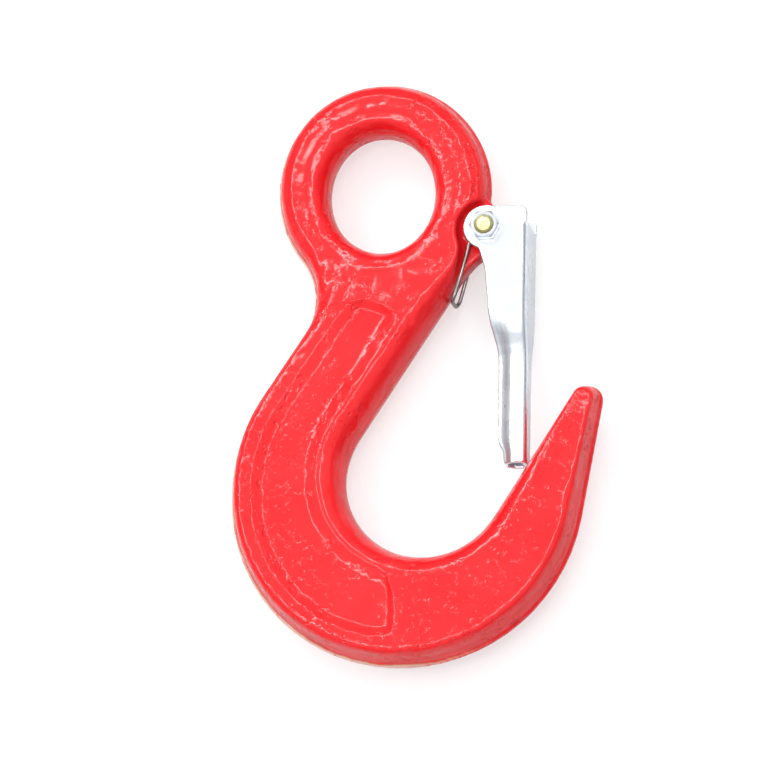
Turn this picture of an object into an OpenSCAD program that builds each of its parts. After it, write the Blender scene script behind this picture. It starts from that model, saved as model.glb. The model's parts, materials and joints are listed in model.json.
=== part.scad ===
// Eye hook with sprung latch, for lifting gear.
// Frame: origin at the centre of the eye on the mid-plane, +Z up along the
// load line, +X toward the point of the hook, Y through the thickness.

/* [Eye] */
// width of the eye hole across X
eye_w = 33; // [24:0.5:45]
// height of the eye hole along Z
eye_h = 38; // [28:0.5:50]
// outside radius of the eye ring
eye_r = 32.2; // [26:0.1:42]
// outside circle centre, X
eye_cx = 0.8; // [-2:0.1:3]
// outside circle centre, Z
eye_cz = 0.6; // [-2:0.1:3]
// extra metal over the crown of the eye
eye_crown = 2.1; // [0:0.1:4]
// where the crown is thickest, degrees from +X
crown_at = 110; // [80:1:130]
// tilt of the oval hole, degrees
eye_tilt = 8; // [0:1:15]
// half thickness of the eye ring
eye_half = 8.6; // [6:0.1:11]
// rounding across the ring toward the hole
eye_in_round = 6; // [2:0.1:8]
// width of the rounding toward the outside of the ring
eye_out_round = 8.2; // [2:0.1:9]
// height of the rounding toward the outside of the ring
eye_out_drop = 4.6; // [2:0.1:8]

/* [Bowl and back] */
// how far the throat line passes outside the pivot axis
throat_past = 0.4; // [-1:0.1:2]
// drop from the eye centre to the bowl centre
bowl_drop = 90.2; // [75:0.5:110]
// bowl radius
bowl_r = 25.1; // [18:0.1:32]
// lean of the throat lines from vertical, degrees
throat_lean = 33.7; // [25:0.1:40]
// back circle centre from the bowl centre, along X
back_shift = -5.8; // [-10:0.1:0]
// drop from the bowl centre to the back circle centre
back_low = 4.2; // [0:0.1:8]
// back circle radius
back_r = 53.6; // [44:0.1:64]
// lean of the shank's back line from vertical, degrees
shank_lean = 34.3; // [25:0.1:40]
// extra swell where the back circle meets the shank line
back_swell = 0.7; // [0:0.1:3]
// concave neck radius
neck_r = 21; // [12:0.1:30]
// lean of the outer line of the point from vertical, degrees
tip_lean = 10.8; // [4:0.1:18]
// rounding radius of the point
tip_r = 4; // [3:0.1:8]

/* [Body section] */
// half thickness of the body at the flats
body_half = 10.2; // [7:0.1:13]
// half thickness of the point at its end
tip_half = 6.6; // [4:0.1:9]
// rounding width on the bowl and throat side
in_round = 7.4; // [3:0.1:10]
// rounding width on the back side
out_round = 3; // [1:0.1:5]
// draft of the back side, degrees
draft = 10; // [1:0.5:12]
// height of the flash ridge on the back side, on the parting plane
flash = 0.85; // [0.1:0.05:1.2]
// height of the flash ridge on the throat side
flash_in = 0.25; // [0.1:0.05:0.5]
// half width of the flash ridge
flash_half = 0.9; // [0.4:0.1:1.5]

/* [Side panel] */
// depth of the sunken side panel
panel_deep = 1.7; // [0.5:0.1:2.5]
// panel's sloped wall on the throat side, as a share of the body width
panel_wall = 0.16; // [0.05:0.01:0.2]
// panel's sloped wall on the back side, as a share of the body width
panel_wall_out = 0.126; // [0.05:0.01:0.2]
// land between the panel and the throat edge, as a share
panel_in = 0.24; // [0.2:0.01:0.3]
// land between the panel and the back edge, as a share
panel_out = 0.252; // [0.2:0.01:0.3]
// the same land at the lower end of the panel
panel_out_end = 0.205; // [0.15:0.01:0.3]
// reach of the panel past the start of the neck
panel_top = 13.5; // [0:0.5:20]
// angle past the bottom of the bowl where the panel ends, degrees
panel_end = 251; // [240:1:290]

/* [Lug and pivot] */
// pivot axis past the outside circle of the eye, along X
pivot_off = 0.3; // [-3:0.1:3]
// drop from the eye centre to the pivot axis
pivot_drop = 14.1; // [10:0.1:22]
// half thickness of the lug
lug_half = 3.3; // [2.5:0.1:5]
// outside radius of the lug round the pivot
lug_r = 6.2; // [5:0.1:8]
// radius of the pocket cleared for the latch ears
pocket_r = 9.4; // [8:0.1:12]
// pivot bolt diameter
bolt_d = 5; // [4:0.5:6]
// running clearance between bolt and lug bore, radial
bolt_run = 0.05; // [0.01:0.01:0.1]
// press of the bolt in the latch ears, radial gap
bolt_press = 0.02; // [0:0.01:0.05]

/* [Latch] */
// ear radius
ear_r = 6.9; // [5.5:0.1:8]
// outer half width across the ears
ear_half = 9.2; // [8:0.1:11]
// sheet thickness
sheet = 1.6; // [1.2:0.1:2.2]
// pivot axis to the outside of the back web
web_x = 12.8; // [10:0.1:16]
// top of the ears above the pivot axis
ear_top = 6.4; // [4:0.1:8]
// top of the back web above the pivot axis
web_top = 1.5; // [0:0.1:4]
// clearance between the latch end and the ridge on the point
latch_gap = 0.15; // [0.1:0.05:1]
// where the pinch starts, as a share of the latch length
pinch_at = 0.4; // [0.3:0.01:0.5]
// outer half width of the pinched channel
pinch_half = 4.4; // [4:0.1:7]
// outer half width across the lips of the channel
lip_half = 2.3; // [2.2:0.1:4]
// depth of the pinched channel
pinch_deep = 9.3; // [6:0.1:10]
// lean of the latch at rest, degrees
latch_lean = 1.1; // [0:0.1:4]
// outside corner radius along the channel
latch_round = 2; // [1.8:0.1:3.5]

/* [Fasteners] */
// across flats of nut and bolt head
hex_af = 8; // [7:0.1:9]
// nut height
nut_h = 2.7; // [2:0.1:6]
// bolt head height
head_h = 3.5; // [2.5:0.1:5]
// countersink at the mouth of the nut
nut_sink = 0.65; // [0.1:0.05:0.8]
// bolt end past the nut
bolt_proud = 0.5; // [0.2:0.1:2]

/* [Spring] */
// wire diameter
wire_d = 1.2; // [0.8:0.1:1.6]
// inside diameter of the coils
coil_id = 8; // [5.4:0.1:9]
// full turns of each coil
coil_turns = 1; // [1:1:3]
// side gap between the lug and the coil
coil_gap = 0.25; // [0.1:0.05:0.5]
// loop below the pivot axis, along X
loop_x = -11.4; // [-16:0.1:-8]
// loop below the pivot axis, along Z
loop_z = -21.6; // [-26:0.1:-14]

/* [Output] */

/* [Hidden] */
red = [0.86, 0.13, 0.14];
zinc = [0.82, 0.84, 0.87];
yellow = [0.85, 0.76, 0.4];
steel = [0.35, 0.35, 0.36];
eye_c = [eye_cx, eye_cz];
pivot = [eye_cx + eye_r + pivot_off, -pivot_drop];
n_in = [-cos(throat_lean), sin(throat_lean)];
bowl_cx = (bowl_r + throat_past - bowl_drop * n_in[1] - pivot * n_in) / cos(throat_lean);
bowl_c = [bowl_cx, -bowl_drop];
back_c = bowl_c + [back_shift, -back_low];
body_w = back_r - bowl_r;

// ---- plane helpers (2D points are [x, z]) ----
function pol(c, r, a) = c + r * [cos(a), sin(a)];
function mix(a, b, t) = a + (b - a) * t;
function smooth(t) = t <= 0 ? 0 : t >= 1 ? 1 : t * t * (3 - 2 * t);
function unit(v) = v / norm(v);
function meet(p, d, q, e) =
    p + d * (((q - p)[0] * e[1] - (q - p)[1] * e[0]) / (d[0] * e[1] - d[1] * e[0]));

// directions of the throat, shank and tip lines, pointing up
d_throat = [sin(throat_lean), cos(throat_lean)];
d_shank = [sin(shank_lean), cos(shank_lean)];
d_tip = [sin(tip_lean), cos(tip_lean)];
a_shank = 180 - shank_lean;
a_throat = 180 - throat_lean;

// tangent points
in_top = pol(bowl_c, bowl_r, a_throat);
in_bot = pol(bowl_c, bowl_r, -throat_lean);
back_top = pol(back_c, back_r + back_swell, a_shank);
back_bot = pol(back_c, back_r, -tip_lean);

// neck circle: tangent to the shank line and to the eye
n_shank = [-cos(shank_lean), sin(shank_lean)];
neck_p = back_top + n_shank * neck_r;
neck_b = (neck_p - eye_c) * d_shank;
neck_q = (neck_p - eye_c) * (neck_p - eye_c) - pow(eye_r + neck_r, 2);
neck_c = neck_p + d_shank * (-neck_b - sqrt(neck_b * neck_b - neck_q));
neck_a1 = -shank_lean;
neck_a0 = atan2(eye_c[1] - neck_c[1], eye_c[0] - neck_c[0]);

// tip circle: tangent to both lines of the point
tip_c = meet(in_bot + tip_r * [cos(throat_lean), -sin(throat_lean)], d_throat,
             back_bot - tip_r * [cos(tip_lean), -sin(tip_lean)], d_tip);
tip_in = tip_c + tip_r * [-cos(throat_lean), sin(throat_lean)];
tip_out = tip_c + tip_r * [cos(tip_lean), -sin(tip_lean)];
a_tip = (throat_lean + tip_lean) / 2;

// ---- outline of the body: [point, outward normal, a, b, h] ----
// a and b are the width and height of the edge rounding, h the half thickness
function rim(c, r, a0, a1, n, ra, rb, h, side = 1) =
    [for (i = [0 : n])
        let (t = i / n, a = mix(a0, a1, t))
        [pol(c, r, a), side * [cos(a), sin(a)],
         mix(ra[0], ra[1], t), mix(rb[0], rb[1], t), mix(h[0], h[1], t)]];
function seg(p, q, nrm, n, ra, rb, h) =
    [for (i = [1 : n - 1])
        let (t = i / n)
        [mix(p, q, t), nrm, mix(ra[0], ra[1], t), mix(rb[0], rb[1], t), mix(h[0], h[1], t)]];

neck_end = neck_c + neck_r * [cos(neck_a1), sin(neck_a1)];
tip_round = tip_r * 0.8;
throat_top = meet(in_top, d_throat, pivot, [1, 0]);
a_join = -20;
h0 = eye_half;
h1 = body_half;
outline = concat(
    [for (i = [0 : 40])
        let (a = mix(a_join, neck_a0 + 180, i / 40), k = (a - crown_at) * 0.95)
        [pol(eye_c, eye_r + (abs(k) < 90 ? eye_crown * pow(cos(k), 2) : 0), a),
         [cos(a), sin(a)], eye_out_round, eye_out_drop, h0]],
    rim(neck_c, neck_r, neck_a0 - 4, neck_a1, 8, [eye_out_round, out_round],
        [eye_out_drop, out_round], [h0, h1], -1),
    seg(neck_end, back_top, n_shank, 4, [out_round, out_round], [out_round, out_round], [h1, h1]),
    [for (i = [0 : 36])
        let (b = mix(a_shank, 360 - tip_lean, i / 36))
        [pol(back_c, back_r + back_swell * smooth((185 - b) / 38), b), [cos(b), sin(b)],
         out_round, out_round, h1]],
    seg(back_bot, tip_out, [cos(tip_lean), -sin(tip_lean)], 6, [out_round, out_round],
        [out_round, out_round], [h1, h1]),
    rim(tip_c, tip_r, -tip_lean, 180 - throat_lean, 10, [out_round, tip_round],
        [out_round, h1], [h1, h1]),
    seg(tip_in, in_bot, n_in, 6, [tip_round, in_round], [h1, h1], [h1, h1]),
    rim(bowl_c, bowl_r, -throat_lean, a_throat - 360, 28, [in_round, in_round],
        [h1, h1], [h1, h1], -1),
    seg(in_top, throat_top, -n_in, 9, [in_round, in_round * 0.8], [h1, h1], [h1, h1]));

function turned(v, a) = [v[0] * cos(a) - v[1] * sin(a), v[0] * sin(a) + v[1] * cos(a)];
hole = [for (i = [0 : 59])
    let (a = i * 6)
    [turned([eye_w / 2 * cos(a), eye_h / 2 * sin(a)], eye_tilt),
     -unit(turned([cos(a) * eye_h, sin(a) * eye_w], eye_tilt)), eye_in_round, h0, h0]];

// inset of an outline at height y
function inset(y, a, b, h) =
    let (z = min(y, h - 0.02), f = h - b)
    z <= f ? z * tan(draft)
           : f * tan(draft) + a * (1 - sqrt(1 - pow((z - f) / b, 2)));
function cut_path(path, y) =
    [for (p = path) p[0] - p[1] * inset(y, p[2], p[3], p[4])];

// slab levels as fractions of the half thickness
levels = [0.34, 0.54, 0.69, 0.8, 0.88, 0.95, 1];

module slab(k) {
    y = body_half * levels[k];
    ym = body_half * (levels[k] + (k == 0 ? 0 : levels[k - 1])) / 2;
    a = cut_path(outline, k == 0 ? 1.2 : ym);
    b = cut_path(hole, k == 0 ? 1.2 : ym);
    plate(-y, y) difference() {
        polygon(a);
        polygon(b);
    }
}

// thin ridge left by the forging dies
function ridge(b) = mix(flash, flash_in, smooth((b - out_round) / (body_half - out_round)));
module flash_line() {
    plate(-flash_half, flash_half) difference() {
        polygon([for (p = outline) p[0] + p[1] * ridge(p[3])]);
        polygon([for (p = hole) p[0]]);
    }
}

function rev(v) = [for (i = [len(v) - 1 : -1 : 0]) v[i]];

// skin between rings of equal length; ends closed by strips
module skin(rings, closed = false) {
    n = len(rings);
    m = len(rings[0]);
    h = m / 2;
    pts = [for (r = rings) for (p = r) p];
    last = closed ? n - 1 : n - 2;
    sides = [for (i = [0 : last]) for (j = [0 : m - 1])
        let (a = i * m + j, b = i * m + (j + 1) % m,
             c = ((i + 1) % n) * m + (j + 1) % m, d = ((i + 1) % n) * m + j)
        each [[a, b, c], [a, c, d]]];
    cap0 = closed ? [] : [for (j = [0 : h - 2])
        each [[j, m - 1 - j, m - 2 - j], [j, m - 2 - j, j + 1]]];
    e = (n - 1) * m;
    cap1 = closed ? [] : [for (j = [0 : h - 2])
        each [[e + j, e + m - 2 - j, e + m - 1 - j], [e + j, e + j + 1, e + m - 2 - j]]];
    polyhedron(pts, concat(sides, cap0, cap1), convexity = 10);
}

// plate with an [x, z] outline, between two Y planes
module plate(y0, y1) {
    translate([0, y1, 0]) rotate([90, 0, 0]) linear_extrude(y1 - y0) children();
}

module along_y(r, y0, y1, fn = 64) {
    translate([0, y0, 0]) rotate([-90, 0, 0]) cylinder(r = r, h = y1 - y0, $fn = fn);
}

// blocks that thin the eye and the end of the point
module thin_eye(side) {
    rotate([90, 0, 90]) linear_extrude(120, center = true) polygon([
        [side * eye_half, 60], [side * eye_half, -22], [side * (eye_half + 0.45), -26],
        [side * (body_half - 0.35), -33], [side * (body_half + 0.2), -38],
        [side * (body_half + 6), -38], [side * (body_half + 6), 60]]);
}

module thin_tip(side) {
    translate([tip_c[0], 0, tip_c[1]]) rotate([0, a_tip, 0])
        rotate([90, 0, 90]) linear_extrude(60, center = true) polygon([
            [side * (body_half + 0.2), -34], [side * (tip_half + 1.6), -6],
            [side * (tip_half + 0.3), 1.5], [side * (tip_half - 2.3), 4.4],
            [side * (tip_half - 5), tip_r + 0.6], [side * (body_half + 6), tip_r + 0.6],
            [side * (body_half + 6), -34]]);
}

// sunken panel: stations [throat edge point, back edge point, lift]
function panel_ring(p, q, side, lift) =
    let (u = unit(q - p), h = body_half, s = panel_wall * body_w, e = panel_wall_out * body_w,
         a0 = [p - u * s / panel_deep, h + 1], a1 = [p + u * s, h - panel_deep + lift],
         b1 = [q - u * e, h - panel_deep + lift], b0 = [q + u * e / panel_deep, h + 1])
    [for (v = side > 0 ? [a0, a1, b1, b0] : [b0, b1, a1, a0])
        [v[0][0], side * v[1], v[0][1]]];

p_in = pol(bowl_c, bowl_r + panel_in * body_w, a_throat);
p_out = pol(back_c, back_r + back_swell - panel_out * body_w, a_shank);
p_len = norm(neck_end - back_top) + panel_top;
function p_arc(a) = let (t = (a - a_throat) / (360 - throat_lean - a_throat),
                         b = mix(a_shank, 360 - tip_lean, t),
                         e = smooth((a - a_throat) / (panel_end - a_throat)))
    [pol(bowl_c, bowl_r + panel_in * body_w, a),
     pol(back_c, back_r + back_swell * smooth((185 - b) / 38)
         - mix(panel_out, panel_out_end, e) * body_w, b)];
module panel(side) {
    n = 5;
    m = 16;
    e = panel_wall_out * body_w;
    skin(rev(concat(
        [for (i = [0 : n])
            let (d = i == 0 ? p_len + e : i == 1 ? p_len : p_len * (n - i) / (n - 1),
                 k = i == 0 ? 2.4 : i == 1 ? 0.6 : 0)
            panel_ring(p_in + d_throat * (d - 1.5 + k * 0) + unit(p_out - p_in) * k,
                       p_out + d_shank * (d + 1.5) - unit(p_out - p_in) * k, side,
                       i == 0 ? panel_deep + 0.5 : 0)],
        [for (i = [1 : m])
            let (v = p_arc(mix(a_throat, panel_end, i / m)), k = i == m ? 0.8 : 0,
                 u = unit(v[1] - v[0]))
            panel_ring(v[0] + u * k, v[1] - u * k, side, 0)],
        [let (v = p_arc(panel_end + 4), u = unit(v[1] - v[0]))
            panel_ring(v[0] + u * 2.6, v[1] - u * 2.6, side, panel_deep + 0.5)])));
}

// pocket cleared for the latch ears and the spring legs
module pocket(y0, y1) {
    translate([pivot[0], 0, pivot[1]]) along_y(pocket_r, y0, y1, 72);
    plate(y0, y1) polygon([
        pivot + [-pocket_r + 0.6, -1], pivot + [-8.3, -6.4], pivot + [-10.6, -16.4],
        pivot + [-12.6, -24], pivot + [-11.4, -25.4], pivot + [2, -14],
        pivot + [14, -4], pivot + [14, 8], pivot + [2, pocket_r - 0.8]]);
}

lug_edge = [for (p = [[-12.4, -19.2], [-10, -15.6], [-7.6, -12.6], [-5.1, -9.8], [-2.4, -7.6]])
    pivot + p];

module lug() {
    plate(-lug_half, lug_half) polygon([
        pivot + [-16, -23.4], each lug_edge, pivot + [1.4, -6.05], pivot + [6.1, 1.2],
        pivot + [0.6, 9.6],
        pivot + [-6, 14], pivot + [-14, 4], pivot + [-20, -12]]);
    translate([pivot[0], 0, pivot[1]]) along_y(lug_r, -lug_half, lug_half, 72);
}

module hook_body() {
    color(red) difference() {
        union() {
            difference() {
                union() {
                    for (k = [0 : len(levels) - 1]) slab(k);
                    flash_line();
                }
                thin_eye(1);
                thin_eye(-1);
                thin_tip(1);
                thin_tip(-1);
                panel(1);
                panel(-1);
                pocket(lug_half, 14);
                pocket(-14, -lug_half);
                trim_front();
            }
            lug();
        }
        translate([pivot[0], 0, pivot[1]])
            along_y(bolt_d / 2 + bolt_run, -20, 20, 64);
    }
}

// clears the throat corner of the body beyond the lug outline
module trim_front() {
    plate(-20, 20) polygon([
        each lug_edge, pivot + [14, lug_edge[4][1] - pivot[1]], pivot + [14, -32],
        pivot + [-4, -32]]);
}

// ---- latch, drawn about the pivot, [x, z] ----
// length that brings the end of the web latch_gap clear of the point
web_dir = [cos(latch_lean), -sin(latch_lean)];
latch_len = (n_in * (pivot + web_x * web_dir - tip_in) - flash_in - latch_gap)
    / -sin(throat_lean - latch_lean) * -1;

// stations: [z, cheek edge x, outer half width, half width at the lip]
lip_x = web_x - pinch_deep;
pz = -pinch_at * latch_len;
latch_st = [
    [web_top, 0, ear_half, ear_half], [-5.6, -2, ear_half, ear_half],
    [-13.2, 0, ear_half, ear_half], [pz + 7, 0.8, ear_half, ear_half],
    [pz + 2, 1.2, ear_half - 0.1, ear_half - 0.4],
    [pz - 1, 1.6, ear_half - 0.5, ear_half - 1.7],
    [pz - 4, 2.3, ear_half - 1.4, ear_half - 3.5],
    [pz - 7, lip_x - 0.4, pinch_half + 1.9, lip_half + 2],
    [pz - 10, lip_x, pinch_half + 0.8, lip_half + 0.8],
    [pz - 13, lip_x, pinch_half + 0.2, lip_half + 0.2],
    [pz - 16, lip_x, pinch_half, lip_half], [8.4 - latch_len, lip_x, pinch_half, lip_half],
    [5.9 - latch_len, lip_x + 0.7, pinch_half, lip_half],
    [3.8 - latch_len, lip_x + 1.8, pinch_half, lip_half + 0.3],
    [-latch_len, lip_x + 2.1, pinch_half, lip_half + 0.3]];
function u_half(xc, hw, lip, off) =
    let (r = latch_round - off, x1 = web_x - off, y1 = hw - off, xm = web_x - 4)
    concat([for (k = [0 : 5]) [mix(xc, xm, k / 5), mix(lip, hw, smooth(k / 5)) - off]],
           [for (k = [0 : 5]) let (a = 90 - k * 18)
               [x1 - r + r * cos(a), y1 - r + r * sin(a)]]);
function u_ring(z, xc, hw, lip) =
    let (o = u_half(xc, hw, lip, 0), i = u_half(xc, hw, lip, sheet), n = len(o))
    concat([for (k = [0 : n - 1]) [o[k][0], o[k][1], z]],
           [for (k = [n - 1 : -1 : 0]) [o[k][0], -o[k][1], z]],
           [for (k = [0 : n - 1]) [i[k][0], -i[k][1], z]],
           [for (k = [n - 1 : -1 : 0]) [i[k][0], i[k][1], z]]);

module latch_ear(y0, y1) {
    plate(y0, y1) polygon(concat(
        [[-2.4, -5.6], [0, -13.2], [web_x - latch_round, -13.2]],
        [[web_x - latch_round, web_top - 3], [web_x - 1.2, web_top - 1]],
        [[web_x, web_top - 0.2], [web_x, ear_top - 2]],
        [for (k = [1 : 5]) [web_x - 2 + 2 * cos(k * 18), ear_top - 2 + 2 * sin(k * 18)]],
        [[-1, ear_top - 0.05]]));
    along_y(ear_r, y0, y1, 72);
}

module latch_shell() {
    union() {
        skin(rev([for (s = latch_st) u_ring(s[0], s[1], s[2], s[3])]));
        latch_ear(ear_half - sheet, ear_half);
        latch_ear(-ear_half, sheet - ear_half);
    }
}

module latch() {
    color(zinc) translate([pivot[0], 0, pivot[1]]) rotate([0, latch_lean, 0])
        difference() {
            latch_shell();
            along_y(bolt_d / 2 + bolt_press, -20, 20, 64);
        }
}

// ---- fasteners ----
module hex_y(af, y0, y1) {
    c = 0.35;
    intersection() {
        translate([0, y0, 0]) rotate([-90, 0, 0])
            cylinder(r = af / sqrt(3), h = y1 - y0, $fn = 6);
        translate([0, y0, 0]) rotate([-90, 0, 0]) rotate_extrude($fn = 64)
            polygon([[0, 0], [af / 2 - 0.05, 0], [af / sqrt(3), c], [af / sqrt(3), y1 - y0 - c],
                     [af / 2 - 0.05, y1 - y0], [0, y1 - y0]]);
    }
}

module pivot_bolt() {
    color(yellow) translate([pivot[0], 0, pivot[1]]) union() {
        along_y(bolt_d / 2, -ear_half - nut_h - bolt_proud + 0.5, ear_half + 0.2);
        translate([0, -ear_half - nut_h - bolt_proud, 0]) rotate([-90, 0, 0])
            cylinder(r1 = bolt_d / 2 - 0.5, r2 = bolt_d / 2, h = 0.5, $fn = 64);
        hex_y(hex_af, ear_half, ear_half + head_h);
    }
}

module lock_nut() {
    color(zinc) translate([pivot[0], 0, pivot[1]]) difference() {
        hex_y(hex_af, -ear_half - nut_h, -ear_half);
        along_y(bolt_d / 2 + bolt_press, -20, 0);
        translate([0, -ear_half - nut_h, 0]) rotate([-90, 0, 0])
            cylinder(r1 = bolt_d / 2 + nut_sink, r2 = bolt_d / 2, h = nut_sink, $fn = 64);
    }
}

// ---- torsion spring: one wire swept along a path, about the pivot ----
coil_r = (coil_id + wire_d) / 2;
coil_y0 = lug_half + wire_d / 2 + coil_gap;
coil_pitch = wire_d + 0.03;
leg_a = atan2(loop_z, loop_x);
leg_l = norm([loop_x, loop_z]);
leg_t = leg_a + 360 - acos(coil_r / leg_l);
end_x = web_x - sheet - wire_d / 2 - 0.3;
end_z = -12.6;
end_t = atan2(end_z, end_x) + acos(coil_r / norm([end_x, end_z]));
turn = leg_t - end_t + 360 * coil_turns;
coil_w = turn / 360 * coil_pitch;
coil_n = round(turn / 20);
function coil_pt(a, y) = [coil_r * cos(a), y, coil_r * sin(a)];
half_path = concat(
    [for (k = [0, 0.94])
        mix([end_x, coil_y0 + coil_w, end_z], coil_pt(end_t, coil_y0 + coil_w), k)],
    [for (k = [0 : coil_n])
        coil_pt(end_t + turn * k / coil_n, coil_y0 + (1 - k / coil_n) * coil_w)]);
loop_r = 2.2;
loop_half = [for (k = [0 : 6])
    let (a = k * 15, w = coil_y0 - loop_r + loop_r * cos(a))
    [loop_x, w, loop_z] + (loop_r * (1 - sin(a))) * unit([-loop_x, 0, -loop_z])];
path_half = concat(half_path, loop_half);
path = concat(path_half, [for (i = [len(path_half) - 1 : -1 : 0])
    [path_half[i][0], -path_half[i][1], path_half[i][2]]]);

function tan_at(p, i) = unit(p[min(i + 1, len(p) - 1)] - p[max(i - 1, 0)]);
function frames(p, i, n) =
    i >= len(p) ? [] :
    let (t = tan_at(p, i), m = unit(n - t * (n * t)))
    concat([[p[i], t, m]], frames(p, i + 1, m));

module wire(p, d) {
    m = 10;
    f = frames(p, 0, [0, 1, 0.01]);
    skin([for (q = f)
        let (b = cross(q[1], q[2]))
        [for (j = [0 : m - 1]) let (a = 180 / m + j * 360 / m)
            q[0] + d / 2 * (cos(a) * b + sin(a) * q[2])]]);
}

module torsion_spring() {
    color(steel) translate([pivot[0], 0, pivot[1]]) wire(path, wire_d);
}

hook_body();
latch();
pivot_bolt();
lock_nut();
torsion_spring();
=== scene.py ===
import bpy
import json
import math
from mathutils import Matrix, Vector
from mathutils.bvhtree import BVHTree


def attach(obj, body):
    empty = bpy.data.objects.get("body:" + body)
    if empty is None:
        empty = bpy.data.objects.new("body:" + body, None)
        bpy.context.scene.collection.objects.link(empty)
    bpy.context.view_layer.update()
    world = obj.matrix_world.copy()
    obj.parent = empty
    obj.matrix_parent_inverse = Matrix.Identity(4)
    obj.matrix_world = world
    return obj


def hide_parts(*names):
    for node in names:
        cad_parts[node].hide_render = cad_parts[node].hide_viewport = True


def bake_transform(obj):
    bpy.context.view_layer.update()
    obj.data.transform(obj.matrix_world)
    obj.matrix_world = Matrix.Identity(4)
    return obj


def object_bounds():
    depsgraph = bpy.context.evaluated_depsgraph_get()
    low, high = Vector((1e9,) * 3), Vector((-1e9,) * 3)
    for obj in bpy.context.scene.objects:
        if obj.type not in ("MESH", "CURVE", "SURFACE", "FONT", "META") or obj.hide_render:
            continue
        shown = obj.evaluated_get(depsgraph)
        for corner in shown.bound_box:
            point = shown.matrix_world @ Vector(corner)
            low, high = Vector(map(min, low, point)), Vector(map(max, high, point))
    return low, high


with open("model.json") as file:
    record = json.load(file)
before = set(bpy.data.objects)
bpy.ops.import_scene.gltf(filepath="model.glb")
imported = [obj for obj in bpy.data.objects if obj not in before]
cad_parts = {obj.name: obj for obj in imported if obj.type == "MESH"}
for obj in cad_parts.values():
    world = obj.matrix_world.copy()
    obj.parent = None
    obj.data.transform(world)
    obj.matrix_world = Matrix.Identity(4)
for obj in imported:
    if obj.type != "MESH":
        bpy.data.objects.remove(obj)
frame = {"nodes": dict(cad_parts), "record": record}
cad_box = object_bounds()
record = frame["record"]
MM = 0.001


# ---- bench habits: select nothing, select one, apply what is pending ----
def clear_selection():
    if bpy.context.object and bpy.context.object.mode != "OBJECT":
        bpy.ops.object.mode_set(mode="OBJECT")
    bpy.ops.object.select_all(action="DESELECT")


def take(piece):
    clear_selection()
    piece.select_set(True)
    bpy.context.view_layer.objects.active = piece


def press(piece, kind, **settings):
    """Adds one modifier to a piece and applies it."""
    take(piece)
    tool = piece.modifiers.new(kind.lower(), kind)
    for name, value in settings.items():
        setattr(tool, name, value)
    bpy.ops.object.modifier_apply(modifier=tool.name)
    return piece


def settle(piece):
    """Puts a piece's place into its mesh."""
    take(piece)
    bpy.ops.object.transform_apply(location=True, rotation=True, scale=True)
    return piece


def soften(piece, angle):
    take(piece)
    bpy.ops.object.shade_smooth_by_angle(angle=math.radians(angle))
    return piece


def cast_from(node, name):
    """A copy of a CAD node's shape, with its loose triangles merged."""
    clear_selection()
    piece = frame["nodes"][node].copy()
    piece.data = frame["nodes"][node].data.copy()
    piece.name = name
    piece.data.name = name
    for key in list(piece.keys()):
        del piece[key]
    piece.parent = None
    bpy.context.scene.collection.objects.link(piece)
    piece.data.materials.clear()
    take(piece)
    bpy.ops.object.mode_set(mode="EDIT")
    bpy.ops.mesh.select_all(action="SELECT")
    bpy.ops.mesh.remove_doubles(threshold=0.002 * MM)
    bpy.ops.object.mode_set(mode="OBJECT")
    return piece


# ---- shader bench ----
def group_of(name, takes, gives):
    made = bpy.data.node_groups.new(name, "ShaderNodeTree")
    for label, kind, value in takes:
        sock = made.interface.new_socket(label, in_out="INPUT", socket_type=kind)
        sock.default_value = value
    for label, kind in gives:
        made.interface.new_socket(label, in_out="OUTPUT", socket_type=kind)
    enter = made.nodes.new("NodeGroupInput")
    leave = made.nodes.new("NodeGroupOutput")
    return made, enter, leave


def node_in(tree, kind, links=(), **values):
    made = tree.nodes.new(kind)
    for key, value in values.items():
        if key.startswith("in_"):
            made.inputs[key[3:].replace("_", " ")].default_value = value
        else:
            setattr(made, key, value)
    for source, target in links:
        tree.links.new(source, made.inputs[target])
    return made


def sums(tree, what, a, b, clamp=False):
    made = tree.nodes.new("ShaderNodeMath")
    made.operation = what
    made.use_clamp = clamp
    for i, value in enumerate((a, b)):
        if value is None:
            continue
        if isinstance(value, (int, float)):
            made.inputs[i].default_value = value
        else:
            tree.links.new(value, made.inputs[i])
    return made.outputs[0]


def span(tree, value, low, high, to_low=0.0, to_high=1.0):
    made = tree.nodes.new("ShaderNodeMapRange")
    made.interpolation_type = "SMOOTHSTEP"
    tree.links.new(value, made.inputs["Value"])
    for label, number in (("From Min", low), ("From Max", high), ("To Min", to_low), ("To Max", to_high)):
        made.inputs[label].default_value = number
    return made.outputs["Result"]


def noise_in(tree, where, scale, detail=4.0, rough=0.5, twist=0.0):
    made = tree.nodes.new("ShaderNodeTexNoise")
    tree.links.new(where, made.inputs["Vector"])
    made.inputs["Detail"].default_value = detail
    made.inputs["Roughness"].default_value = rough
    made.inputs["Distortion"].default_value = twist
    if isinstance(scale, (int, float)):
        made.inputs["Scale"].default_value = scale
    else:
        tree.links.new(scale, made.inputs["Scale"])
    return made.outputs["Fac"]


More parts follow.
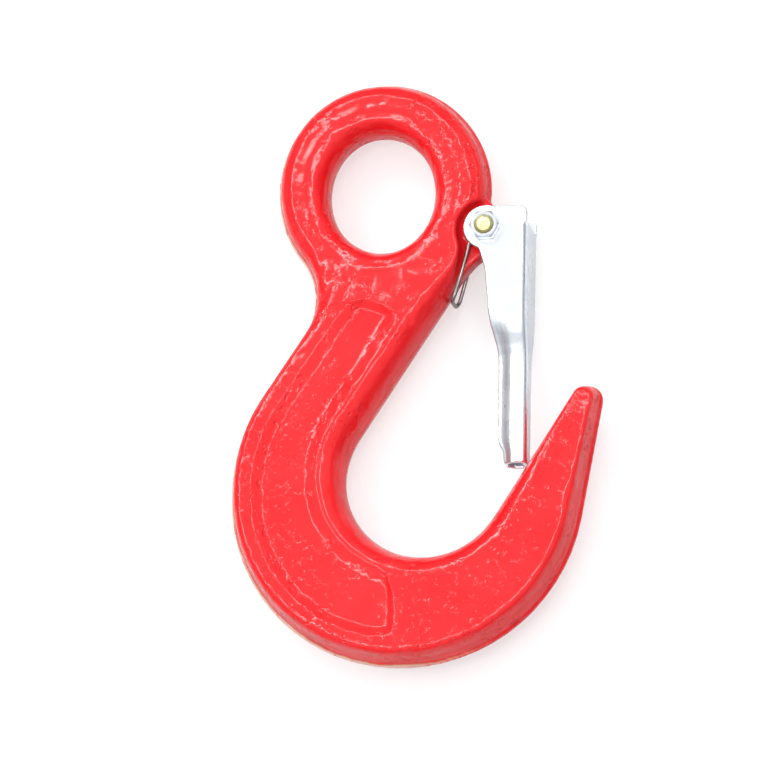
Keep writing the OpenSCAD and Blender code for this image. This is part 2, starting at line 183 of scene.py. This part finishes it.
def make_forged_relief():
    """Uneven hammered skin under thick paint: long soft ripples, rough patches, small pits."""
    tree, enter, leave = group_of(
        "forged relief",
        [("Broad", "NodeSocketFloat", 170.0),
         ("Fine", "NodeSocketFloat", 520.0),
         ("Pits", "NodeSocketFloat", 0.5)],
        [("Height", "NodeSocketFloat"), ("Pit", "NodeSocketFloat"), ("Patch", "NodeSocketFloat")])
    where = node_in(tree, "ShaderNodeTexCoord").outputs["Object"]
    broad = noise_in(tree, where, enter.outputs["Broad"], 1.0, 0.4, 0.2)
    fine = noise_in(tree, where, enter.outputs["Fine"], 1.5, 0.45, 0.5)
    patch = span(tree, noise_in(tree, where, 45.0, 2.0, 0.5), 0.40, 0.56)
    pit = span(tree, noise_in(tree, where, 480.0, 1.0, 0.5, 0.3), 0.58, 0.68)
    pit = sums(tree, "MULTIPLY", pit, patch)
    rough = sums(tree, "MULTIPLY", fine, span(tree, patch, 0.0, 1.0, 0.06, 0.3))
    height = sums(tree, "ADD", broad, rough)
    height = sums(tree, "SUBTRACT", height, sums(tree, "MULTIPLY", pit, enter.outputs["Pits"]))
    tree.links.new(height, leave.inputs["Height"])
    tree.links.new(pit, leave.inputs["Pit"])
    tree.links.new(patch, leave.inputs["Patch"])
    return tree


def make_flash_band():
    """Trimmed flash on the parting plane: a narrow band that the paint has left thin down the outer back."""
    tree, enter, leave = group_of(
        "flash band",
        [("Half", "NodeSocketFloat", 0.9 * MM), ("Cover", "NodeSocketFloat", 0.5)],
        [("Band", "NodeSocketFloat"), ("Line", "NodeSocketFloat")])
    coords = node_in(tree, "ShaderNodeTexCoord")
    where = coords.outputs["Object"]
    depth = node_in(tree, "ShaderNodeSeparateXYZ", [(where, "Vector")]).outputs["Y"]
    lay = node_in(tree, "ShaderNodeSeparateXYZ", [(coords.outputs["Normal"], "Vector")])
    tilt = lay.outputs["Y"]
    outward = node_in(tree, "ShaderNodeVectorMath",
                      [(where, 0), (coords.outputs["Normal"], 1)], operation="DOT_PRODUCT")
    uneven = sums(tree, "SUBTRACT", noise_in(tree, where, 90.0, 3.0, 0.6), 0.5)
    wander = sums(tree, "MULTIPLY", uneven, 1.2 * MM)
    off = sums(tree, "ABSOLUTE", sums(tree, "ADD", depth, wander), None)
    share = sums(tree, "DIVIDE", off, enter.outputs["Half"])
    side = span(tree, sums(tree, "ABSOLUTE", tilt, None), 0.70, 0.95, 1.0, 0.0)
    side = sums(tree, "MULTIPLY", side, span(tree, outward.outputs["Value"], 4.0 * MM, 14.0 * MM))
    side = sums(tree, "MULTIPLY", side, span(tree, lay.outputs["X"], -0.1, 0.45, 1.0, 0.0))
    bare = span(tree, noise_in(tree, where, 130.0, 4.0, 0.6), 0.34, 0.46)
    cover = sums(tree, "MULTIPLY", bare, enter.outputs["Cover"])
    band = sums(tree, "MULTIPLY", span(tree, share, 0.8, 1.05, 1.0, 0.0), side)
    from_edge = sums(tree, "ABSOLUTE", sums(tree, "SUBTRACT", share, 1.0), None)
    line = sums(tree, "MULTIPLY", span(tree, from_edge, 0.0, 0.3, 1.0, 0.0), side)
    tree.links.new(sums(tree, "MULTIPLY", band, cover), leave.inputs["Band"])
    tree.links.new(line, leave.inputs["Line"])
    return tree


def make_plated_grain():
    """Zinc plate on sheet or bar: fine drawn grain, soft clouding, small handling marks."""
    tree, enter, leave = group_of(
        "plated grain",
        [("Grain", "NodeSocketFloat", 900.0), ("Clouds", "NodeSocketFloat", 90.0)],
        [("Height", "NodeSocketFloat"), ("Cloud", "NodeSocketFloat"), ("Mark", "NodeSocketFloat")])
    where = node_in(tree, "ShaderNodeTexCoord").outputs["Object"]
    drawn = node_in(tree, "ShaderNodeMapping", [(where, "Vector")])
    drawn.inputs["Scale"].default_value = (1.0, 1.0, 0.12)
    grain = noise_in(tree, drawn.outputs["Vector"], enter.outputs["Grain"], 3.0, 0.6)
    cloud = noise_in(tree, where, enter.outputs["Clouds"], 4.0, 0.55, 0.4)
    mark = span(tree, noise_in(tree, where, 700.0, 1.0, 0.4), 0.70, 0.78)
    height = sums(tree, "SUBTRACT", grain, sums(tree, "MULTIPLY", mark, 0.8))
    tree.links.new(height, leave.inputs["Height"])
    tree.links.new(span(tree, cloud, 0.35, 0.65), leave.inputs["Cloud"])
    tree.links.new(mark, leave.inputs["Mark"])
    return tree


forged_relief = make_forged_relief()
flash_band = make_flash_band()
plated_grain = make_plated_grain()


def finish_named(name):
    made = bpy.data.materials.new(name)
    made.use_nodes = True
    tree = made.node_tree
    return made, tree, tree.nodes["Principled BSDF"]


def blend_colour(tree, how_much, a, b):
    made = tree.nodes.new("ShaderNodeMix")
    made.data_type = "RGBA"
    tree.links.new(how_much, made.inputs["Factor"])
    for label, value in (("A", a), ("B", b)):
        sock = [s for s in made.inputs if s.name == label and s.type == "RGBA"][0]
        if isinstance(value, tuple):
            sock.default_value = value
        else:
            tree.links.new(value, sock)
    return [s for s in made.outputs if s.type == "RGBA"][0]


def raise_skin(tree, shader, height, strength, depth):
    bump = node_in(tree, "ShaderNodeBump", [(height, "Height")], in_Strength=strength, in_Distance=depth)
    tree.links.new(bump.outputs["Normal"], shader.inputs["Normal"])
    return bump


def coat_red_paint():
    made, tree, shader = finish_named("red gloss paint")
    skin = node_in(tree, "ShaderNodeGroup", node_tree=forged_relief)
    skin.inputs["Broad"].default_value = 190.0
    skin.inputs["Fine"].default_value = 560.0
    skin.inputs["Pits"].default_value = 0.30
    flash = node_in(tree, "ShaderNodeGroup", node_tree=flash_band)
    flash.inputs["Half"].default_value = 1.15 * MM
    flash.inputs["Cover"].default_value = 0.85
    where = node_in(tree, "ShaderNodeTexCoord").outputs["Object"]
    tone = span(tree, noise_in(tree, where, 60.0, 3.0, 0.5), 0.3, 0.7)
    red = blend_colour(tree, tone, (0.78, 0.010, 0.014, 1), (0.84, 0.016, 0.020, 1))
    red = blend_colour(tree, sums(tree, "MULTIPLY", skin.outputs["Pit"], 0.3), red, (0.50, 0.006, 0.010, 1))
    red = blend_colour(tree, flash.outputs["Line"], red, (0.60, 0.20, 0.10, 1))
    red = blend_colour(tree, flash.outputs["Band"], red, (0.80, 0.56, 0.45, 1))
    tree.links.new(red, shader.inputs["Base Color"])
    gloss = span(tree, noise_in(tree, where, 200.0, 3.0), 0.3, 0.7, 0.10, 0.17)
    dull = sums(tree, "MULTIPLY", flash.outputs["Band"], 0.25)
    tree.links.new(sums(tree, "ADD", gloss, dull), shader.inputs["Roughness"])
    shader.inputs["IOR"].default_value = 1.46
    raise_skin(tree, shader, skin.outputs["Height"], 0.6, 1.05 * MM)
    return made


def plate_zinc(name, tint, dark, rough, grain, depth):
    made, tree, shader = finish_named(name)
    skin = node_in(tree, "ShaderNodeGroup", node_tree=plated_grain)
    skin.inputs["Grain"].default_value = grain
    colour = blend_colour(tree, skin.outputs["Cloud"], tint, dark)
    tree.links.new(colour, shader.inputs["Base Color"])
    shader.inputs["Metallic"].default_value = 1.0
    matt = span(tree, skin.outputs["Cloud"], 0.0, 1.0, rough, rough + 0.1)
    tree.links.new(matt, shader.inputs["Roughness"])
    raise_skin(tree, shader, skin.outputs["Height"], 0.35, depth)
    return made


red_paint = coat_red_paint()
bright_zinc = plate_zinc(
    "bright zinc", (0.86, 0.89, 0.93, 1), (0.74, 0.79, 0.85, 1),
    0.24, 1400.0, 0.05 * MM)
# Same zinc plate as the latch, but coloured darker: painted shade, so the nut's flanks and chamfer read grey
# against the bright ear.
shade_darkened_nut_zinc = plate_zinc(
    "nut zinc darkened for shade", (0.56, 0.58, 0.62, 1), (0.45, 0.48, 0.53, 1),
    0.3, 2200.0, 0.03 * MM)
yellow_zinc = plate_zinc(
    "yellow passivate", (0.94, 0.88, 0.52, 1), (0.84, 0.72, 0.30, 1),
    0.28, 2600.0, 0.04 * MM)
spring_steel = plate_zinc(
    "spring steel", (0.48, 0.46, 0.43, 1), (0.26, 0.25, 0.24, 1),
    0.28, 2600.0, 0.02 * MM)


def dress(piece, finish, body, node=None):
    piece.data.materials.clear()
    piece.data.materials.append(finish)
    if node:
        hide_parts(node)
    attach(piece, body)
    return piece


# ---- the forging ----
PANEL_SINK = 1.7 * MM
FLAT = 10.2 * MM
FORGE_VOXEL = 0.53 * MM
FORGE_PASSES = (2, 22, 1)
FORGE_THIN = 0.68
PANEL_GUARD = (4.6 * MM, 6.4 * MM)
PARTING_GUARD = (1.2 * MM, 2.6 * MM)
LATCH_VOXEL = 0.32 * MM
LATCH_PASSES = 5


def panel_floors(piece):
    """The two sunken floors of a piece, as a search tree."""
    spots = [v.co.copy() for v in piece.data.vertices]
    level = FLAT - PANEL_SINK
    faces = [tuple(p.vertices) for p in piece.data.polygons
             if all(abs(abs(spots[i].y) - level) < 0.01 * MM for i in p.vertices)]
    return BVHTree.FromPolygons(spots, faces)


def ramp(value, low, high):
    t = min(1.0, max(0.0, (value - low) / (high - low)))
    return t * t * (3.0 - 2.0 * t)


def forge_hook_body():
    """Smooths the stepped forging, but leaves the panel walls and the parting ridge crisp."""
    piece = cast_from("hook_body", "forged_hook")
    floors = panel_floors(piece)
    press(piece, "REMESH", mode="VOXEL", voxel_size=FORGE_VOXEL, adaptivity=0.0)
    press(piece, "SMOOTH", factor=0.5, iterations=FORGE_PASSES[0])
    loose = piece.vertex_groups.new(name="loose")
    for v in piece.data.vertices:
        reach = floors.find_nearest(v.co)[3]
        weight = ramp(reach, *PANEL_GUARD) * ramp(abs(v.co.y), *PARTING_GUARD)
        if weight > 0.0:
            loose.add([v.index], weight, "REPLACE")
    press(piece, "SMOOTH", factor=0.5, iterations=FORGE_PASSES[1], vertex_group="loose")
    press(piece, "SMOOTH", factor=0.5, iterations=FORGE_PASSES[2])
    press(piece, "DECIMATE", ratio=FORGE_THIN)
    piece.vertex_groups.clear()
    take(piece)
    bpy.ops.object.shade_smooth()
    return dress(piece, red_paint, "hook", "hook_body")


def press_latch():
    """Gives the pressed sheet its soft bends."""
    piece = cast_from("latch", "pressed_latch")
    press(piece, "REMESH", mode="VOXEL", voxel_size=LATCH_VOXEL, adaptivity=0.0)
    press(piece, "SMOOTH", factor=0.5, iterations=LATCH_PASSES)
    take(piece)
    bpy.ops.object.shade_smooth()
    return dress(piece, bright_zinc, "latch_arm", "latch")


def turned_part(node, name, finish, width):
    """Copy of a machined node with its edges broken."""
    piece = cast_from(node, name)
    press(piece, "DECIMATE", decimate_type="DISSOLVE", angle_limit=math.radians(1.0))
    press(piece, "BEVEL", width=width, segments=2, limit_method="ANGLE", angle_limit=math.radians(25))
    soften(piece, 35)
    return dress(piece, finish, "latch_arm", node)


def wind_spring():
    """A copy of the wound wire, smooth-shaded and finished in spring steel, left where the CAD puts it."""
    piece = cast_from("torsion_spring", "wound_spring")
    soften(piece, 70)
    piece.data.materials.append(spring_steel)
    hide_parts("torsion_spring")
    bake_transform(piece)
    return piece


forge_hook_body()
press_latch()
# The nut takes the darkened zinc, which paints shade on its flanks and chamfer.
turned_part("lock_nut", "nut_on_bolt", shade_darkened_nut_zinc, 0.12 * MM)
turned_part("pivot_bolt", "bolt_through_latch", yellow_zinc, 0.1 * MM)
wind_spring()


# ---- studio ----
SHEET_SIZE = 3.0
SHEET_GAP = 0.6 * MM
SHEET_GLOW, SHEET_SEEN = 0.34, 0.60
RING_WAY = (-0.184, 0.946, 0.267)
RING_AT, RING_GLOW = 0.88, 14.0
AIR_SIDE, AIR_FRONT, AIR_SEEN = 0.22, 0.92, 1.04


def backing_sheet():
    """White sheet that the hook lies against; seen from behind it lets the camera through."""
    high = cad_box[1]
    clear_selection()
    bpy.ops.mesh.primitive_plane_add(
        size=SHEET_SIZE, location=(0, high.y + SHEET_GAP, -0.05), rotation=(math.radians(90), 0, 0))
    sheet = bpy.context.object
    sheet.name = "backing_sheet"
    made, tree, shader = finish_named("white sheet")
    shader.inputs["Base Color"].default_value = (0.42, 0.42, 0.42, 1)
    shader.inputs["Emission Color"].default_value = (1.0, 1.0, 1.0, 1)
    seen = tree.nodes.new("ShaderNodeLightPath").outputs["Is Camera Ray"]
    tree.links.new(span(tree, seen, 0.0, 1.0, SHEET_GLOW, SHEET_SEEN), shader.inputs["Emission Strength"])
    shader.inputs["Roughness"].default_value = 0.9
    shader.inputs["Specular IOR Level"].default_value = 0.1
    clear = tree.nodes.new("ShaderNodeBsdfTransparent")
    mix = tree.nodes.new("ShaderNodeMixShader")
    side = tree.nodes.new("ShaderNodeNewGeometry")
    tree.links.new(side.outputs["Backfacing"], mix.inputs[0])
    tree.links.new(shader.outputs[0], mix.inputs[1])
    tree.links.new(clear.outputs[0], mix.inputs[2])
    tree.links.new(mix.outputs[0], tree.nodes["Material Output"].inputs["Surface"])
    sheet.data.materials.append(made)
    settle(sheet)


def soft_light(name, place, aim, size, power):
    lamp = bpy.data.lights.new(name, "AREA")
    lamp.shape = "RECTANGLE"
    lamp.size, lamp.size_y = size
    lamp.energy = power
    made = bpy.data.objects.new(name, lamp)
    bpy.context.scene.collection.objects.link(made)
    made.location = place
    made.rotation_mode = "QUATERNION"
    made.rotation_quaternion = (Vector(aim) - Vector(place)).to_track_quat("-Z", "Y")


def studio_air(world):
    """Bright front and back, dim sides, a thin bright ring that draws lines on gloss.

    The camera sees it as plain white.
    """
    world.use_nodes = True
    tree = world.node_tree
    way = node_in(tree, "ShaderNodeTexCoord").outputs["Generated"]
    parts = node_in(tree, "ShaderNodeSeparateXYZ", [(way, "Vector")])
    facing = sums(tree, "ABSOLUTE", parts.outputs["Y"], None)
    folded = node_in(tree, "ShaderNodeCombineXYZ",
                     [(parts.outputs["X"], "X"), (facing, "Y"), (parts.outputs["Z"], "Z")])
    dot = node_in(tree, "ShaderNodeVectorMath", [(folded.outputs[0], 0)], operation="DOT_PRODUCT")
    dot.inputs[1].default_value = RING_WAY
    ring = sums(tree, "ABSOLUTE", sums(tree, "SUBTRACT", dot.outputs["Value"], RING_AT), None)
    level = span(tree, facing, 0.10, 0.80, AIR_SIDE, AIR_FRONT)
    glow = span(tree, ring, 0.009, 0.022, RING_GLOW, 0.0)
    air = tree.nodes["Background"]
    air.inputs["Color"].default_value = (0.97, 0.98, 1.0, 1)
    seen = tree.nodes.new("ShaderNodeLightPath").outputs["Is Camera Ray"]
    unseen = sums(tree, "MULTIPLY", sums(tree, "ADD", level, glow), sums(tree, "SUBTRACT", 1.0, seen))
    tree.links.new(sums(tree, "ADD", unseen, sums(tree, "MULTIPLY", seen, AIR_SEEN)), air.inputs["Strength"])


def set_studio():
    backing_sheet()
    world = bpy.data.worlds.new("studio")
    bpy.context.scene.world = world
    studio_air(world)
    middle = (0.01, 0, -0.057)
    soft_light("key softbox", (-0.5, -0.9, 0.55), middle, (0.3, 0.3), 2.0)
    soft_light("far softbox", (-0.5, 0.9, 0.55), middle, (0.3, 0.3), 2.0)


def set_camera():
    turn, rise, away = math.radians(11.0), math.radians(-15.5), 2.4
    aim = Vector((2.0, 0.0, -61.6)) * MM
    back = Vector((math.sin(turn) * math.cos(rise), -math.cos(turn) * math.cos(rise), math.sin(rise)))
    lens = bpy.data.cameras.new("camera")
    lens.lens = 364.0
    lens.clip_start, lens.clip_end = 0.01, 20.0
    camera = bpy.data.objects.new("camera", lens)
    bpy.context.scene.collection.objects.link(camera)
    camera.location = aim + back * away
    camera.rotation_mode = "QUATERNION"
    camera.rotation_quaternion = (-back).to_track_quat("-Z", "Y")
    bpy.context.scene.camera = camera


set_studio()
set_camera()
bpy.context.scene.view_settings.view_transform = "Standard"
